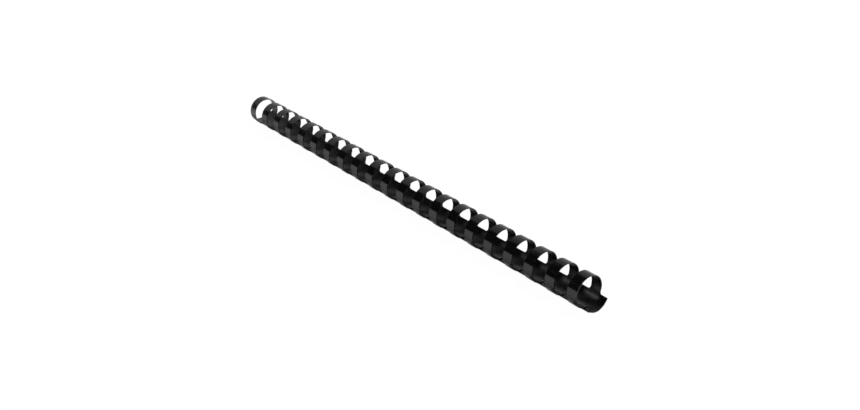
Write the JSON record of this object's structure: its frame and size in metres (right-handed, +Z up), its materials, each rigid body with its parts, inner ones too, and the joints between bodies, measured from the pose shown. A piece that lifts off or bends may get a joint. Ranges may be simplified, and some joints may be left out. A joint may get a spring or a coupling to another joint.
{
  "type": "plastic binding comb",
  "caption": "Curled black plastic comb for comb-bound documents: a long curved spine with a row of springy finger rings that flex open.",
  "frame": {"origin": "below the middle ring, on the surface that the comb lies on", "axes": "+X along the comb, +Y towards the back, where the fingers grow from the spine, +Z up"},
  "size_m": [0.3014, 0.0166, 0.0167],
  "materials": {
    "black_pvc": "glossy, smooth moulded PVC sheet"
  },
  "bodies": {
    "spine": {"spine": "black_pvc"},
    "finger_01": {"finger_01": "black_pvc"},
    "finger_02": {"finger_02": "black_pvc"},
    "finger_03": {"finger_03": "black_pvc"},
    "finger_04": {"finger_04": "black_pvc"},
    "finger_05": {"finger_05": "black_pvc"},
    "finger_06": {"finger_06": "black_pvc"},
    "finger_07": {"finger_07": "black_pvc"},
    "finger_08": {"finger_08": "black_pvc"},
    "finger_09": {"finger_09": "black_pvc"},
    "finger_10": {"finger_10": "black_pvc"},
    "finger_11": {"finger_11": "black_pvc"},
    "finger_12": {"finger_12": "black_pvc"},
    "finger_13": {"finger_13": "black_pvc"},
    "finger_14": {"finger_14": "black_pvc"},
    "finger_15": {"finger_15": "black_pvc"},
    "finger_16": {"finger_16": "black_pvc"},
    "finger_17": {"finger_17": "black_pvc"},
    "finger_18": {"finger_18": "black_pvc"},
    "finger_19": {"finger_19": "black_pvc"},
    "finger_20": {"finger_20": "black_pvc"},
    "finger_21": {"finger_21": "black_pvc"}
  },
  "joints": [
    {"name": "finger_01_flex", "type": "hinge", "parent": "spine", "child": "finger_01", "pos_m": [-0.14288, 0.00788, 0.00664], "axis": [-1, 0, 0], "range_deg": [0, 70], "stiffness_Nm_per_rad": 0.0055},
    {"name": "finger_02_flex", "type": "hinge", "parent": "spine", "child": "finger_02", "pos_m": [-0.12859, 0.00788, 0.00664], "axis": [-1, 0, 0], "range_deg": [0, 70], "stiffness_Nm_per_rad": 0.0055},
    {"name": "finger_03_flex", "type": "hinge", "parent": "spine", "child": "finger_03", "pos_m": [-0.1143, 0.00788, 0.00664], "axis": [-1, 0, 0], "range_deg": [0, 70], "stiffness_Nm_per_rad": 0.0055},
    {"name": "finger_04_flex", "type": "hinge", "parent": "spine", "child": "finger_04", "pos_m": [-0.10001, 0.00788, 0.00664], "axis": [-1, 0, 0], "range_deg": [0, 70], "stiffness_Nm_per_rad": 0.0055},
    {"name": "finger_05_flex", "type": "hinge", "parent": "spine", "child": "finger_05", "pos_m": [-0.08572, 0.00788, 0.00664], "axis": [-1, 0, 0], "range_deg": [0, 70], "stiffness_Nm_per_rad": 0.0055},
    {"name": "finger_06_flex", "type": "hinge", "parent": "spine", "child": "finger_06", "pos_m": [-0.07144, 0.00788, 0.00664], "axis": [-1, 0, 0], "range_deg": [0, 70], "stiffness_Nm_per_rad": 0.0055},
    {"name": "finger_07_flex", "type": "hinge", "parent": "spine", "child": "finger_07", "pos_m": [-0.05715, 0.00788, 0.00664], "axis": [-1, 0, 0], "range_deg": [0, 70], "stiffness_Nm_per_rad": 0.0055},
    {"name": "finger_08_flex", "type": "hinge", "parent": "spine", "child": "finger_08", "pos_m": [-0.04286, 0.00788, 0.00664], "axis": [-1, 0, 0], "range_deg": [0, 70], "stiffness_Nm_per_rad": 0.0055},
    {"name": "finger_09_flex", "type": "hinge", "parent": "spine", "child": "finger_09", "pos_m": [-0.02857, 0.00788, 0.00664], "axis": [-1, 0, 0], "range_deg": [0, 70], "stiffness_Nm_per_rad": 0.0055},
    {"name": "finger_10_flex", "type": "hinge", "parent": "spine", "child": "finger_10", "pos_m": [-0.01429, 0.00788, 0.00664], "axis": [-1, 0, 0], "range_deg": [0, 70], "stiffness_Nm_per_rad": 0.0055},
    {"name": "finger_11_flex", "type": "hinge", "parent": "spine", "child": "finger_11", "pos_m": [0, 0.00788, 0.00664], "axis": [-1, 0, 0], "range_deg": [0, 70], "stiffness_Nm_per_rad": 0.0055},
    {"name": "finger_12_flex", "type": "hinge", "parent": "spine", "child": "finger_12", "pos_m": [0.01429, 0.00788, 0.00664], "axis": [-1, 0, 0], "range_deg": [0, 70], "stiffness_Nm_per_rad": 0.0055},
    {"name": "finger_13_flex", "type": "hinge", "parent": "spine", "child": "finger_13", "pos_m": [0.02857, 0.00788, 0.00664], "axis": [-1, 0, 0], "range_deg": [0, 70], "stiffness_Nm_per_rad": 0.0055},
    {"name": "finger_14_flex", "type": "hinge", "parent": "spine", "child": "finger_14", "pos_m": [0.04286, 0.00788, 0.00664], "axis": [-1, 0, 0], "range_deg": [0, 70], "stiffness_Nm_per_rad": 0.0055},
    {"name": "finger_15_flex", "type": "hinge", "parent": "spine", "child": "finger_15", "pos_m": [0.05715, 0.00788, 0.00664], "axis": [-1, 0, 0], "range_deg": [0, 70], "stiffness_Nm_per_rad": 0.0055},
    {"name": "finger_16_flex", "type": "hinge", "parent": "spine", "child": "finger_16", "pos_m": [0.07144, 0.00788, 0.00664], "axis": [-1, 0, 0], "range_deg": [0, 70], "stiffness_Nm_per_rad": 0.0055},
    {"name": "finger_17_flex", "type": "hinge", "parent": "spine", "child": "finger_17", "pos_m": [0.08572, 0.00788, 0.00664], "axis": [-1, 0, 0], "range_deg": [0, 70], "stiffness_Nm_per_rad": 0.0055},
    {"name": "finger_18_flex", "type": "hinge", "parent": "spine", "child": "finger_18", "pos_m": [0.10001, 0.00788, 0.00664], "axis": [-1, 0, 0], "range_deg": [0, 70], "stiffness_Nm_per_rad": 0.0055},
    {"name": "finger_19_flex", "type": "hinge", "parent": "spine", "child": "finger_19", "pos_m": [0.1143, 0.00788, 0.00664], "axis": [-1, 0, 0], "range_deg": [0, 70], "stiffness_Nm_per_rad": 0.0055},
    {"name": "finger_20_flex", "type": "hinge", "parent": "spine", "child": "finger_20", "pos_m": [0.12859, 0.00788, 0.00664], "axis": [-1, 0, 0], "range_deg": [0, 70], "stiffness_Nm_per_rad": 0.0055},
    {"name": "finger_21_flex", "type": "hinge", "parent": "spine", "child": "finger_21", "pos_m": [0.14288, 0.00788, 0.00664], "axis": [-1, 0, 0], "range_deg": [0, 70], "stiffness_Nm_per_rad": 0.0055}
  ]
}
